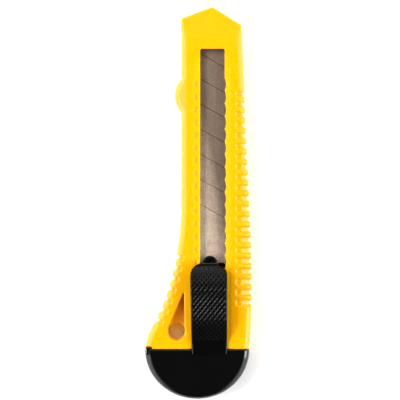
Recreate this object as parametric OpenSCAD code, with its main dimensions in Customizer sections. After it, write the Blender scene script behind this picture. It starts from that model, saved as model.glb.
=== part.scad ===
// Snap-off utility knife: a moulded handle, a thumb slider that carries a scored blade, and a
// pull-off end cap. The knife lies on its back. Z rises out of the front face, Y runs to the
// blade tip, and the origin is on the blade's centreline where the cap meets the handle.

/* [Handle] */
// Thickness of the handle, back face to front face
body_t = 10; // [9.5:0.1:11]
// Distance from the cap joint to the point of the nose
nose_y = 136.2; // [134:0.1:140]
// Distance from the centreline to the straight left edge
left_x = 12.4; // [12.2:0.1:14]
// Radius of the long front edges
edge_r = 2.6; // [1:0.1:2.8]
// Height of the nose point above the back face
nose_t = 7.8; // [7.4:0.1:9]

/* [Slot] */
// Width of the window slot for the slider
slot_w = 9.9; // [9.6:0.1:10.4]
// Distance from the cap joint to the closed end of the slot
slot_end_y = 119.4; // [116:0.1:121]
// Depth of the band that the thumb pad runs along
track_depth = 0.4; // [0.2:0.1:0.8]
// Distance from one detent notch to the next
notch_pitch = 5.05; // [5.0:0.01:5.1]
// Depth of a detent notch in the edge of the slot
notch_depth = 0.55; // [0.3:0.05:0.6]
// Number of notches that the slider can travel past
notches_of_travel = 14; // [8:1:14]

/* [Grip] */
// Distance from one grip tooth to the next
tooth_pitch = 4.15; // [4:0.05:4.4]
// Depth of the gap between two grip teeth
tooth_depth = 1.1; // [0.6:0.1:1.3]
// Width of the gap between two grip teeth
tooth_gap = 2.2; // [2:0.1:2.8]

/* [Blade] */
// Width of the blade
blade_w = 18; // [18:0.1:18.2]
// Thickness of the blade
blade_t = 0.5; // [0.4:0.05:0.6]
// Length of one snap-off segment
segment_len = 10; // [10:0.1:10.1]
// Length of the last segment, which the slider holds
tail_len = 30; // [29:0.5:30]
// Slant of the score lines
blade_slant = 29; // [27:0.5:30]

/* [Slider] */
// Width of the thumb pad
pad_w = 14.7; // [13:0.1:15]
// Distance from the cap joint to the front edge of the thumb pad
pad_front_y = 34.2; // [33:0.1:35]
// Height of the thumb pad above the handle's front face
pad_h = 6.0; // [5:0.1:6.5]

/* [End cap] */
// Length of the cap
cap_len = 20; // [18:0.5:24]
// Radius of the lanyard hole beside the cap
lanyard_r = 3.15; // [2.8:0.05:3.3]

/* [Hidden] */
$fn = 48;
over = 0.5; // how far a cutting shape runs past the surface it cuts
across = 80; // wider than the knife, for shapes that run right across it
rounding = 0.94; // how far round its quarter circle a rounded edge goes, squared

// the levels inside the handle, from the back face up
groove_z = 2.6; // floor of the groove that the carrier runs in
channel_z = 6.0; // floor of the blade channel
lip_z = 7.0; // underside of the lips beside the slot
track_z = body_t - track_depth;
blade_z = channel_z + 0.25;
blade_top_z = blade_z + blade_t;
pad_z = body_t + 0.15;
groove_half_w = 7.6;
channel_half_w = blade_w / 2 + 0.3;
track_left_x = -8.2;
track_right_x = 8.0;
track_end_y = 115;
track_side = 0.9; // how far the sloped sides of the band run out
back_r = 0.5; // radius of the back edges

// the nose and the right edge
nose_left_y = 131.5;
nose_right = [11.6, 128.8];
nose_slope_y = 121; // where the front face starts to slope down to the nose
right_top = [12.8, 103.4]; // upper end of the toothed edge
right_curve = [right_top, [13.2, 75], [17.8, 30], [14.6, 0]];
right_grip_low_y = 16; // lower end of the right teeth
scoop_x = 9.2; // inner end of the right scoops
left_scoop_reach = 3.2;
left_grip_y = 36.5; // the highest gap of the left teeth
left_gaps = 7;
scoop_w = 2.8;
scoop_step = 0.4; // depth of a scoop at its inner end
scoop_shelf = 2.5; // how far out its floor stays level
scoop_fall = 26.6; // how steeply its floor falls from there, degrees
scoop_run = 4; // how far it runs out past the edge
right_scoop_depth = 2.4; // the deepest that a right scoop's floor goes
left_scoop_depth = 1.6;
outline_tail = 5; // the outlines run on past the joint by this much

// the flared left edge and its corner at the cap
flare_curve = [[-left_x, 57], [-left_x - 0.2, 36], [-18, 19.5], [-24, 8.5]];
corner_curve = [[-24, 8.5], [-26.2, 4.6], [-26.8, 0]];

// the finger stop on the left edge
stop_y = 100.8;
stop_half = 6.4;
stop_h = 2.6;
stop_r = (pow(stop_half, 2) + pow(stop_h, 2)) / (2 * stop_h);

// the pocket and lanyard hole in the flare
lanyard = [-14.2, 6.9];
pocket_r = 3.6;
pocket_tip = [-11.4, 22.5];
pocket_tip_right = [0.6, -0.8]; // from the tip's left corner to its right one
pocket_left = [-0.94, 0.34]; // where the left side meets the round end, in radii from its centre
pocket_right = [3.3, -2]; // where the right side meets it, from its centre
pocket_floor_z = 3.5;

// the detent notches: the lowest one in sight is at notch_y
notch_y = 34.45;
notch_r = (pow(notch_pitch / 2, 2) + pow(notch_depth, 2)) / (2 * notch_depth);
slot_x = slot_w / 2;
travel = notches_of_travel * notch_pitch;
notches_below = 6; // notches that the cap and the pad hide
dimple_x = -5.8;
dimple_r = 1.25;
dimple_depth = 0.35;
peg = [-0.95, 34.15];
peg_r = 2.75;
peg_dome = 0.8;
carrier_low_y = 5.5;
carrier_end_y = 38;
carrier_gap = 0.4; // from the carrier to the sides of its groove, and to its end at the last notch
carrier_lift = 0.3; // from the carrier to the floor of its groove
sink = 0.3; // how far pieces that are one moulding run into each other
hang_gap = 0.1; // between the peg and the blade's hole
peg_top = 0.6; // radius of the peg's flat top, as a share of its own
neck_half_w = 4.6;
neck_low_y = 3;
neck_root_len = 26; // the part of the neck that fills the blade's level
neck_narrow_w = 6.3; // width of the neck beside the spring
spring_root_y = 14;
spring_w = 1.5;
spring_x = 2.55;
spring_lift = 0.35; // from the blade to the spring
spring_drop = 0.2; // from the spring's top to the face of the band
tooth_tip = [slot_x - 0.95, 33.2];
tooth_r = 1.1;

// the blade
tip_y = 129.8;
slant_drop = blade_w * tan(blade_slant);
segments = 8;
grind = 1.6; // width of the ground bevel
edge_flat = 0.2; // thickness of the cutting edge, as a share of the blade's

// the cap
cap_half = [20.75, cap_len - 0.3];
cap_x = -6.05;
cap_gap = 0.3;
left_prong = [-20.4, 2.5, 7.6]; // centre, width and length
right_prong = [11.9, 2.2, 11];
prong_z = [3.2, 6.8];
prong_root = 3;
prong_gap = 0.15;
core_x = [-19, -4.2]; // left sides of the two hollows inside the cap
core_size = [13.2, 9, 5.2];
core_z = 2.4;
slit_x = -15.8;
slit_size = [19.5, 6, 1.1];
slit_z = 4.5;
tongue_size = [14.4, 13, 3];
tongue_end_y = 3.5;
lug_x = [-26.6, -24.2]; // the lug at the left corner keys into a recess in the handle
lug_y = [-2.4, 0.7];
lug_h = 2.4;
lug_gap = 0.2;
lug_drop = 0.3; // from the lug's top to the front face
tongue_lift = 0.2; // from the tongue to the floor of the groove

function lerp(a, b, t) = a * (1 - t) + b * t;
function bezier(p, t) = len(p) == 1 ? p[0] : bezier([for (i = [1:len(p) - 1]) lerp(p[i - 1], p[i], t)], t);
function curve(p, steps) = [for (i = [0:steps]) bezier(p, i / steps)];
function arc(c, r, from, to, steps) = [for (i = [0:steps]) let (a = lerp(from, to, i / steps)) c + r * [cos(a), sin(a)]];

// where a curve that falls in y reaches the height y
function where_y(p, y, low = 0, high = 1, n = 18) =
    let (mid = (low + high) / 2)
    n == 0 ? mid : bezier(p, mid)[1] > y ? where_y(p, y, mid, high, n - 1) : where_y(p, y, low, mid, n - 1);

// a closed outline moved inwards by d, with mitred corners (points run counter-clockwise)
function unit(v) = v / norm(v);
function inward(a, b) = let (u = unit(b - a)) [-u[1], u[0]];
function inset(p, d) = [for (i = [0:len(p) - 1])
    let (a = p[(i + len(p) - 1) % len(p)], b = p[i], c = p[(i + 1) % len(p)], n1 = inward(a, b), n2 = inward(b, c))
    b + (n1 + n2) * d / (1 + n1 * n2)];

// the handle seen from the front, run past the cap joint by a straight tail
function handle_outline(tail) = concat(
    [[right_curve[3][0], -tail]],
    [for (i = [16:-1:1]) bezier(right_curve, i / 16)],
    [right_top, nose_right, [0, nose_y], [-left_x, nose_left_y]],
    let (half = asin(stop_half / stop_r))
        arc([-left_x - stop_h + stop_r, stop_y], stop_r, 180 - half, 180 + half, 12),
    curve(flare_curve, 12),
    [bezier(corner_curve, 0.33), bezier(corner_curve, 0.66), bezier(corner_curve, 1)],
    [[corner_curve[2][0], -tail]]);

// half of an ellipse, run past the cap joint by a straight tail
function cap_outline(tail) = concat(
    [for (i = [0:36]) let (a = 180 + 180 * i / 36)
        [cap_x + cap_half[0] * cos(a), -cap_gap + cap_half[1] * sin(a)]],
    [[cap_x + cap_half[0], tail], [cap_x - cap_half[0], tail]]);

// a slab of an outline whose edges are rounded by steps: radius top_r in front, bottom_r behind
module rounded_slab(outline, top_r, bottom_r) {
    steps = 4;
    translate([0, 0, bottom_r]) linear_extrude(body_t - top_r - bottom_r) polygon(outline);
    for (i = [0:steps - 1]) {
        low = i / steps;
        high = (i + 1) / steps;
        translate([0, 0, body_t - top_r + low * top_r])
            linear_extrude((high - low) * top_r) polygon(inset(outline, top_r * (1 - sqrt(1 - high * high * rounding))));
        translate([0, 0, bottom_r - high * bottom_r])
            linear_extrude((high - low) * bottom_r) polygon(inset(outline, bottom_r * (1 - sqrt(1 - high * high * rounding))));
    }
}

// one gap between two grip teeth: it runs down the whole edge, and a scoop leads into it from the
// face. The scoop starts as far inside the edge as its reach. Its floor is level, then falls outwards.
module grip_gap(at, outward_angle, reach, depth) {
    translate([at[0], at[1], -over]) cylinder(r = tooth_gap / 2, h = body_t + 2 * over);
    translate([at[0], at[1], body_t]) rotate([0, 0, outward_angle]) translate([-reach, 0, 0])
        rotate([90, 0, 0]) translate([0, 0, -scoop_w / 2]) linear_extrude(scoop_w) polygon([
            [0, over], [0, -scoop_step], [scoop_shelf, -scoop_step],
            [scoop_shelf + (depth - scoop_step) / tan(scoop_fall), -depth],
            [reach + scoop_run, -depth], [reach + scoop_run, over]]);
}

module right_grip() {
    count = floor((right_top[1] - right_grip_low_y) / tooth_pitch);
    for (i = [0:count - 1]) {
        y = right_top[1] - (i + 0.5) * tooth_pitch;
        gap_x = bezier(right_curve, where_y(right_curve, y))[0] + tooth_gap / 2 - tooth_depth;
        grip_gap([gap_x, y], 0, gap_x - scoop_x, right_scoop_depth);
    }
}

module left_grip() {
    for (i = [0:left_gaps - 1]) {
        t = where_y(flare_curve, left_grip_y - i * tooth_pitch);
        n = inward(bezier(flare_curve, t - 0.01), bezier(flare_curve, t + 0.01));
        at = bezier(flare_curve, t) - n * (tooth_gap / 2 - tooth_depth);
        grip_gap(at, atan2(-n[1], -n[0]), left_scoop_reach, left_scoop_depth);
    }
}

module slot_cut() {
    corner = 0.9;
    translate([0, 0, lip_z - over]) linear_extrude(body_t) {
        translate([-slot_x, -over]) square([slot_w, slot_end_y - corner + over]);
        translate([-slot_x + corner, 0]) square([slot_w - 2 * corner, slot_end_y]);
        for (side = [-1, 1]) translate([side * (slot_x - corner), slot_end_y - corner]) circle(corner);
        // the row of notches in the right edge, from below the cap joint to the last one
        intersection() {
            square([2 * slot_x, slot_end_y]);
            for (i = [-notches_below:notches_of_travel])
                translate([slot_x + notch_depth - notch_r, notch_y + i * notch_pitch]) circle(notch_r, $fn = 160);
        }
    }
}

// shallow half-round dimples beside the slot, one to each notch
module dimples() {
    for (i = [0:notches_of_travel])
        translate([dimple_x, notch_y + i * notch_pitch, track_z - dimple_depth]) difference() {
            cylinder(r = dimple_r, h = body_t);
            translate([0, -2 * dimple_r, -over]) cube([2 * dimple_r, 4 * dimple_r, body_t + 2 * over]);
        }
}

module handle_body() {
    color("gold") difference() {
        intersection() {
            rounded_slab(handle_outline(outline_tail), edge_r, back_r);
            // the nose slopes down in front, and the handle stops at the cap joint
            rotate([90, 0, 90]) translate([0, 0, -across / 2]) linear_extrude(across)
                polygon([[0, 0], [nose_y + over, 0], [nose_y + over, nose_t], [nose_slope_y, body_t], [0, body_t]]);
        }
        // the band for the thumb pad, with sloped sides
        rotate([90, 0, 0]) translate([0, 0, -track_end_y]) linear_extrude(track_end_y + over) polygon([
            [track_left_x, body_t + over], [track_left_x, body_t], [track_left_x + track_side, track_z],
            [track_right_x - track_side, track_z], [track_right_x, body_t], [track_right_x, body_t + over]]);
        slot_cut();
        dimples();
        // the blade channel runs from end to end, and the carrier groove stops the carrier at the last notch
        translate([-channel_half_w, -over, channel_z])
            cube([2 * channel_half_w, nose_y + 2 * over, lip_z - channel_z]);
        translate([-groove_half_w, -over, groove_z])
            cube([2 * groove_half_w, carrier_end_y + travel + carrier_gap + over, lip_z - groove_z]);
        right_grip();
        left_grip();
        // the pocket, with the lanyard hole through its floor
        translate([0, 0, pocket_floor_z]) linear_extrude(body_t) {
            translate(lanyard) circle(pocket_r);
            polygon([pocket_tip, lanyard + pocket_r * pocket_left, lanyard + pocket_right, pocket_tip + pocket_tip_right]);
        }
        translate([lanyard[0], lanyard[1], -over]) cylinder(r = lanyard_r, h = body_t, $fn = 64);
        for (p = [left_prong, right_prong])
            translate([p[0] - p[1] / 2 - prong_gap, -over, prong_z[0] - prong_gap])
                cube([p[1] + 2 * prong_gap, p[2] + 2 * prong_gap + over, prong_z[1] - prong_z[0] + 2 * prong_gap]);
        // the recess for the cap's lug
        translate([-across / 2, -over, body_t - lug_h - lug_gap])
            cube([across / 2 + lug_x[1] + lug_gap, lug_y[1] + lug_gap + over, lug_h + lug_gap + over]);
    }
}

module end_cap() {
    color("#1a1a1a") union() {
        difference() {
            rounded_slab(cap_outline(outline_tail), edge_r, 2 * back_r);
            translate([-across / 2, -cap_gap, -over]) cube([across, cap_gap + outline_tail + over, body_t + 2 * over]);
            // cored out from the joint, so that the wall is even
            for (x = core_x) translate([x, -core_size[1], core_z]) cube(core_size);
            // the slit that breaks off a blade segment
            translate([slit_x, -cap_len - over, slit_z]) cube(slit_size + [0, over, 0]);
        }
        for (p = [left_prong, right_prong])
            translate([p[0] - p[1] / 2, -prong_root, prong_z[0]])
                cube([p[1], p[2] + prong_root, prong_z[1] - prong_z[0]]);
        // the tongue that closes the carrier groove
        translate([-tongue_size[0] / 2, tongue_end_y - tongue_size[1], groove_z + tongue_lift]) cube(tongue_size);
        translate([lug_x[0], lug_y[0], body_t - lug_h])
            cube([lug_x[1] - lug_x[0], lug_y[1] - lug_y[0], lug_h - lug_drop]);
    }
}

pad_x = -1.5; // half of the pad's width lies to each side of this line
pad_low_y = -2.4;
pad_corner_r = 5; // front left corner
pad_right_r = 3; // front right corner
pad_tail_r = 0.8;
pad_taper = 0.6; // how much narrower the tail is
pad_step = [2.2, 1.4]; // the front edge is set back to the right of the first value, by the second

// the side of the pad: each point is its place along the knife and its height from the pad's top
pad_ramp = [[pad_front_y, -3.6], [pad_front_y - 0.6, -2.6], [pad_front_y - 3.2, -1.8]];
pad_crest = [[26, -0.3], [24.4, 0.1], [22.4, -0.1]];
pad_saddle = [[21, -0.3], [17.5, -0.5], [14, -0.3]];
pad_heel = [[12.4, 0], [11, 0], [9.8, -0.7]];
pad_tail = [[4.2, 1.4], [2.6, 0.9], [-3, 0.9]]; // height above its underside
function lifted(points, z) = [for (p = points) p + [0, z]];

function pad_outline() =
    let (l = pad_x - pad_w / 2, r = pad_x + pad_w / 2)
    concat(
        arc([r - pad_right_r, pad_front_y - pad_step[1] - pad_right_r], pad_right_r, 0, 90, 6),
        [[pad_step[0], pad_front_y - pad_step[1]], [pad_step[0], pad_front_y]],
        arc([l + pad_corner_r, pad_front_y - pad_corner_r], pad_corner_r, 90, 180, 8),
        arc([l + pad_taper + pad_tail_r, pad_low_y + pad_tail_r], pad_tail_r, 180, 270, 5),
        arc([r - pad_tail_r, pad_low_y + pad_tail_r], pad_tail_r, 270, 360, 5));

module thumb_pad() {
    top = pad_z + pad_h;
    color("#202020") intersection() {
        translate([0, 0, pad_z]) linear_extrude(pad_h + over) polygon(pad_outline());
        // the side view: a thin tail, a steep heel, a shallow saddle for the thumb and a long front ramp
        rotate([90, 0, 90]) translate([0, 0, -across / 2]) linear_extrude(across) polygon(concat(
            [[pad_tail[2][0], pad_z], [pad_front_y, pad_z]],
            lifted(curve(pad_ramp, 4), top), lifted(curve(pad_crest, 4), top),
            lifted(curve(pad_saddle, 4), top), lifted(curve(pad_heel, 4), top), lifted(pad_tail, pad_z)));
    }
}

module blade_carrier() {
    plate_z = groove_z + carrier_lift;
    color("#262626") union() {
        // the plate behind the blade
        translate([-groove_half_w + carrier_gap, carrier_low_y, plate_z])
            cube([2 * (groove_half_w - carrier_gap), carrier_end_y - carrier_low_y, blade_z - plate_z]);
        // the neck through the slot, with room on the right for the spring
        translate([-neck_half_w, neck_low_y, blade_z - sink]) cube([2 * neck_half_w, neck_root_len, blade_t + sink]);
        translate([-neck_half_w, neck_low_y, blade_top_z])
            cube([2 * neck_half_w, spring_root_y - neck_low_y, pad_z - blade_top_z]);
        translate([-neck_half_w, neck_low_y, blade_top_z])
            cube([neck_narrow_w, pad_front_y - neck_low_y - sink, pad_z - blade_top_z]);
        // the peg that the blade hangs on, with a domed end
        translate([peg[0], peg[1], blade_z - sink]) cylinder(r = peg_r, h = track_z - peg_dome - blade_z + sink);
        translate([peg[0], peg[1], track_z - peg_dome]) cylinder(r1 = peg_r, r2 = peg_r * peg_top, h = peg_dome);
    }
}

module detent_spring() {
    z0 = blade_top_z + spring_lift;
    h = track_z - spring_drop - z0;
    // a thin arm along the neck's right side, with the tooth that drops into the notches
    color("#303030") translate([0, 0, z0]) {
        translate([spring_x, spring_root_y, 0]) cube([spring_w, tooth_tip[1] - spring_root_y, h]);
        translate([tooth_tip[0], tooth_tip[1], 0]) cylinder(r = tooth_r, h = h);
        translate([spring_x, tooth_tip[1] - tooth_r, 0]) cube([tooth_tip[0] - spring_x, 2 * tooth_r, h]);
    }
}

// the blade's cross-section, with the cutting edge ground from both faces
function blade_section() = let (e = -blade_w / 2) [
    [e, blade_z + blade_t * (1 - edge_flat) / 2], [e + grind, blade_z], [blade_w / 2, blade_z],
    [blade_w / 2, blade_top_z], [e + grind, blade_top_z], [e, blade_z + blade_t * (1 + edge_flat) / 2]];

// segment n, counted from the tip, is cut along the score lines
module blade_segment(n) {
    high = tip_y - (n - 1) * segment_len;
    low = n < segments ? high - segment_len : high - tail_len;
    drop = n < segments ? slant_drop : 0;
    color("#a8a29a") difference() {
        intersection() {
            rotate([90, 0, 0]) translate([0, 0, -tip_y]) linear_extrude(tip_y) polygon(blade_section());
            linear_extrude(body_t) polygon([[-blade_w / 2, high], [-blade_w / 2, low],
                                            [blade_w / 2, low - drop], [blade_w / 2, high - slant_drop]]);
        }
        if (n == segments) translate([peg[0], peg[1], 0]) cylinder(r = peg_r + hang_gap, h = body_t);
    }
}

handle_body();
end_cap();
thumb_pad();
blade_carrier();
detent_spring();
blade_segment(1);  // blade_segment_1
blade_segment(2);  // blade_segment_2
blade_segment(3);  // blade_segment_3
blade_segment(4);  // blade_segment_4
blade_segment(5);  // blade_segment_5
blade_segment(6);  // blade_segment_6
blade_segment(7);  // blade_segment_7
blade_segment(8);  // blade_segment_8
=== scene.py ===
# %% [markdown]
# # A snap-off utility knife
#
# The knife is a flat yellow moulding with a long window slot. A scored steel blade lies in a channel
# under the slot, a black slider with a knurled pad pushes it out of the nose, and a glossy black cap
# closes the rear. The working model comes in first as a fixed frame. Everything after it is the
# visible skin, and each piece is made in the place that the frame gives.

# %% Load the frame
import math

import bmesh
import bpy
import numpy as np
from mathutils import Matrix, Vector


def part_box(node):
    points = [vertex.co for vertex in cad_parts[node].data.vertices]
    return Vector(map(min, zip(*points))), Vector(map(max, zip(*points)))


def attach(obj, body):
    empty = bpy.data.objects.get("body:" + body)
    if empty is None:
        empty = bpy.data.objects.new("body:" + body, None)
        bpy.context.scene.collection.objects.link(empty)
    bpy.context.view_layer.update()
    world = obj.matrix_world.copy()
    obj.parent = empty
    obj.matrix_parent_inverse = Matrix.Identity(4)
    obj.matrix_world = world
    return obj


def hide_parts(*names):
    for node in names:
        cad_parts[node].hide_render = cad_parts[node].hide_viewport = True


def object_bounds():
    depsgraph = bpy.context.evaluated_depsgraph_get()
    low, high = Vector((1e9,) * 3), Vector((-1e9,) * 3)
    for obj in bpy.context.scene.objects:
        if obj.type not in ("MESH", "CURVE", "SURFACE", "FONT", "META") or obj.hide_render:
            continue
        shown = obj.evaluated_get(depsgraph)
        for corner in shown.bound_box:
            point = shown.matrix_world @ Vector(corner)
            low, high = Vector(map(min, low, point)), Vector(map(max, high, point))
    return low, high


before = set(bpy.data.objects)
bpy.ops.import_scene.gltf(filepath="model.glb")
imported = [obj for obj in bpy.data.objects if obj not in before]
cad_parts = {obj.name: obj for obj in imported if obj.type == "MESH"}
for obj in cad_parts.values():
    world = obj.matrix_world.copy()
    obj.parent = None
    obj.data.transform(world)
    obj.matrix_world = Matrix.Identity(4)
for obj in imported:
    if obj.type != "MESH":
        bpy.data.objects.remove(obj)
frame_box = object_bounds()
MM = 0.001  # one millimetre in Blender's metres


def box_mm(node):
    """A node's lowest and highest corners, in millimetres."""
    low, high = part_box(node)
    return np.array(low) / MM, np.array(high) / MM


handle_low, handle_high = box_mm("handle_body")
cap_low, cap_high = box_mm("end_cap")
pad_low, pad_high = box_mm("thumb_pad")
carrier_low, carrier_high = box_mm("blade_carrier")
spring_low, spring_high = box_mm("detent_spring")
blade_low, blade_high = box_mm("blade_segment_1")
print("handle", handle_low.round(2), handle_high.round(2))

# %% [markdown]
# ## The camera
#
# The knife lies on its back and is seen from straight above, with its nose towards the top of the
# picture. A long lens far away keeps the sides parallel, as a product picture does. The camera is
# made first. It is aimed at the middle of the frame, and then shifted a little to share out the margins.

# %% Camera
scene = bpy.context.scene
VIEW_WIDTH = 158.9  # what the square picture takes in, mm
CAMERA_HEIGHT = 900.0
SENSOR = 36.0
ASIDE, AHEAD = 0.6, 1.1  # how far the camera stands off the middle, to the right and towards the nose
centre = (np.array(frame_box[0]) + np.array(frame_box[1])) / 2 / MM

camera_data = bpy.data.cameras.new("camera")
camera_data.sensor_width = SENSOR
camera_data.lens = SENSOR * (CAMERA_HEIGHT - handle_high[2]) / VIEW_WIDTH
camera = bpy.data.objects.new("camera", camera_data)
camera.location = ((centre[0] + ASIDE) * MM, (centre[1] + AHEAD) * MM, CAMERA_HEIGHT * MM)
scene.collection.objects.link(camera)
scene.camera = camera
scene.view_settings.view_transform = "Standard"
print("lens", round(camera_data.lens, 1), "mm")

# %% [markdown]
# ## Shapes from distances
#
# A moulded part has a small radius on every edge, where walls meet and round every pocket. Boxes
# with a Bevel modifier break down where many cuts cross, as they do here. So each moulding is written
# as a distance: a function that is negative inside the plastic, zero on its skin and positive
# outside. Joining, cutting and filleting are then one line each, and the fillet can't fail.

# %% Joining and cutting distances


def both(a, b, radius):
    """The part that lies in a and in b, with a fillet of that radius on the edge between them."""
    corner = np.hypot(np.maximum(a + radius, 0), np.maximum(b + radius, 0))
    return np.minimum(np.maximum(a, b), -radius) + corner


def join(a, b, radius):
    """a and b together, with a fillet of that radius in the inside corner."""
    return -both(-a, -b, radius)


def cut(a, b, radius):
    """a with b taken away, with a fillet of that radius on the rim of the cut."""
    return both(a, -b, radius)


def rectangle(x, y, low_x, high_x, low_y, high_y, radius=0.0):
    """Distance to a rectangle with rounded corners."""
    half_x, half_y = (high_x - low_x) / 2 - radius, (high_y - low_y) / 2 - radius
    dx = np.abs(x - (low_x + high_x) / 2) - half_x
    dy = np.abs(y - (low_y + high_y) / 2) - half_y
    outside = np.hypot(np.maximum(dx, 0), np.maximum(dy, 0))
    return outside + np.minimum(np.maximum(dx, dy), 0) - radius


def between(v, low, high):
    """Distance to the slab between two parallel planes."""
    return np.abs(v - (low + high) / 2) - (high - low) / 2


def outline_distance(x, y, points):
    """Distance to a closed outline in the plane."""
    nearest = np.full(np.broadcast(x, y).shape, np.inf)
    inside = np.zeros(nearest.shape, bool)
    for (x0, y0), (x1, y1) in zip(points, points[1:] + points[:1]):
        ex, ey = x1 - x0, y1 - y0
        along = np.clip(((x - x0) * ex + (y - y0) * ey) / (ex * ex + ey * ey), 0, 1)
        nearest = np.minimum(nearest, (x - x0 - along * ex) ** 2 + (y - y0 - along * ey) ** 2)
        if ey:
            inside ^= ((y0 > y) != (y1 > y)) & (x < x0 + (y - y0) * ex / ey)
    return np.where(inside, -1, 1) * np.sqrt(nearest)


def smooth(t):
    """0 below 0, 1 above 1, and a soft step between."""
    t = np.clip(t, 0, 1)
    return t * t * (3 - 2 * t)


# %% [markdown]
# ## From a distance to a mesh
#
# The distance is worked out on a grid of points. Every small cell that the skin passes through gets
# one vertex, at the mean of the places where the skin crosses the cell's edges, and every crossed
# grid line gets one face between its four cells. The method is called surface nets. It gives a
# closed mesh of even quads with no stray faces. A last step moves each vertex onto the true skin.

# %% Surface nets


def skin(distance, low, high, step):
    """Vertices and quads of the surface where the distance is zero, in millimetres."""
    axes = [np.arange(a - 2.5 * step, b + 3.5 * step, step) for a, b in zip(low, high)]
    x, y, z = np.meshgrid(*axes, indexing="ij", sparse=True)
    d = np.broadcast_to(distance(x, y, z), [len(a) for a in axes])
    inside = d < 0
    cells = np.array(d.shape) - 1
    filled = np.zeros(cells, np.int8)
    for i, j, k in np.ndindex(2, 2, 2):
        filled += inside[i:i + cells[0], j:j + cells[1], k:k + cells[2]]
    crossed = np.argwhere((filled > 0) & (filled < 8))

    total = np.zeros((len(crossed), 3))
    hits = np.zeros(len(crossed))
    for axis in range(3):
        for a, b in np.ndindex(2, 2):
            start = np.insert([a, b], axis, 0)
            end = np.insert([a, b], axis, 1)
            d0, d1 = d[tuple((crossed + start).T)], d[tuple((crossed + end).T)]
            meets = (d0 < 0) != (d1 < 0)
            share = np.where(meets, d0 / np.where(meets, d0 - d1, 1), 0)
            total += meets[:, None] * (start + share[:, None] * (end - start))
            hits += meets
    origin = np.array([a[0] for a in axes])
    points = origin + step * (crossed + total / hits[:, None])

    number = np.full(cells, -1)
    number[tuple(crossed.T)] = np.arange(len(crossed))
    quads = []
    for axis in range(3):
        u, v = np.eye(3, dtype=int)[[(axis + 1) % 3, (axis + 2) % 3]]
        near = inside.take(range(cells[axis]), axis)
        far = inside.take(range(1, cells[axis] + 1), axis)
        at = np.argwhere(near != far)
        ring = [number[tuple((at - back).T)] for back in (u + v, v, 0 * u, u)]
        quad = np.stack(ring, 1)
        outward = near[tuple(at.T)]
        quads.append(np.where(outward[:, None], quad, quad[:, ::-1]))
    return points, np.concatenate(quads)


def settle(distance, points, nudge=0.02, rounds=2):
    """Moves points onto the skin along the slope of the distance."""
    for _ in range(rounds):
        d = distance(*points.T)
        slope = np.stack([(distance(*(points + nudge * side).T) - d) / nudge for side in np.eye(3)], 1)
        steepness = np.maximum((slope ** 2).sum(1), 0.3)
        points = points - np.clip(d / steepness, -0.1, 0.1)[:, None] * slope
    return points


def new_piece(name, mesh, body, slot, *nodes):
    """Links a mesh as a piece that rides on a body and stands for some of the frame's nodes."""
    piece = bpy.data.objects.new(name, mesh)
    scene.collection.objects.link(piece)
    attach(piece, body)
    if nodes:
        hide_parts(*nodes)
    return piece


def moulding(name, distance, low, high, step):
    """A smooth-shaded mesh of a distance."""
    points, quads = skin(distance, low, high, step)
    points = settle(distance, points)
    mesh = bpy.data.meshes.new(name)
    mesh.from_pydata((points * MM).tolist(), [], quads.tolist())
    mesh.shade_smooth()
    print(name, len(points), "vertices,", len(quads), "faces")
    return mesh, points


# %% [markdown]
# ## The outline of the handle
#
# The handle has a pointed nose, a straight left edge with a round finger stop, a flared heel with
# grip teeth, and a long belly on the right with more teeth. The two curved edges are Bezier curves
# with four control points each, which is all that their shape needs.

# %% Outline of the handle
BODY_T = handle_high[2]
LEFT_X = -12.4
NOSE = [(11.6, 128.8), (0.0, handle_high[1]), (LEFT_X, 131.5)]
BELLY = [(12.8, 103.4), (13.2, 75.0), (17.8, 30.0), (14.6, 0.0)]
FLARE = [(LEFT_X, 57.0), (LEFT_X - 0.2, 36.0), (-18.0, 19.5), (-24.0, 8.5)]
HEEL = [(-24.0, 8.5), (-26.2, 4.6), (handle_low[0], 0.0)]
STOP_Y, STOP_HALF, STOP_H = 100.8, 6.4, 2.6  # the finger stop: place, half its chord, height
STOP_R = (STOP_HALF ** 2 + STOP_H ** 2) / (2 * STOP_H)
TAIL = 5.0  # the outline runs on past the cap joint, so that the joint's edge stays sharp


def bezier(points, t):
    """The point at t on a Bezier curve of any degree. t may be an array."""
    points = [np.multiply.outer(np.ones_like(t, dtype=float), p) for p in np.array(points, float)]
    while len(points) > 1:
        points = [a + (b - a) * np.asarray(t)[..., None] for a, b in zip(points, points[1:])]
    return points[0]


def curve_points(points, count):
    """Points along a Bezier curve, for an outline."""
    return [tuple(p) for p in bezier(points, np.linspace(0, 1, count))]


handle_outline = (
    [(BELLY[-1][0], -TAIL)]
    + curve_points(BELLY, 25)[::-1]
    + NOSE
    + curve_points(FLARE, 19)
    + curve_points(HEEL, 7)[1:]
    + [(handle_low[0], -TAIL)]
)
print("outline", len(handle_outline), "points")

# %% [markdown]
# ## The handle's slot, notches and grip
#
# The slot's right edge carries a row of notches, which are what the slider clicks into, and the left
# edge has a small dimple opposite each notch that the slider can reach. The grip teeth are what is
# left between scoops that run off the edge. Rows like these are folded: the distance to one notch
# serves for the whole row when the place along the row is wrapped to one pitch.

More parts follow.
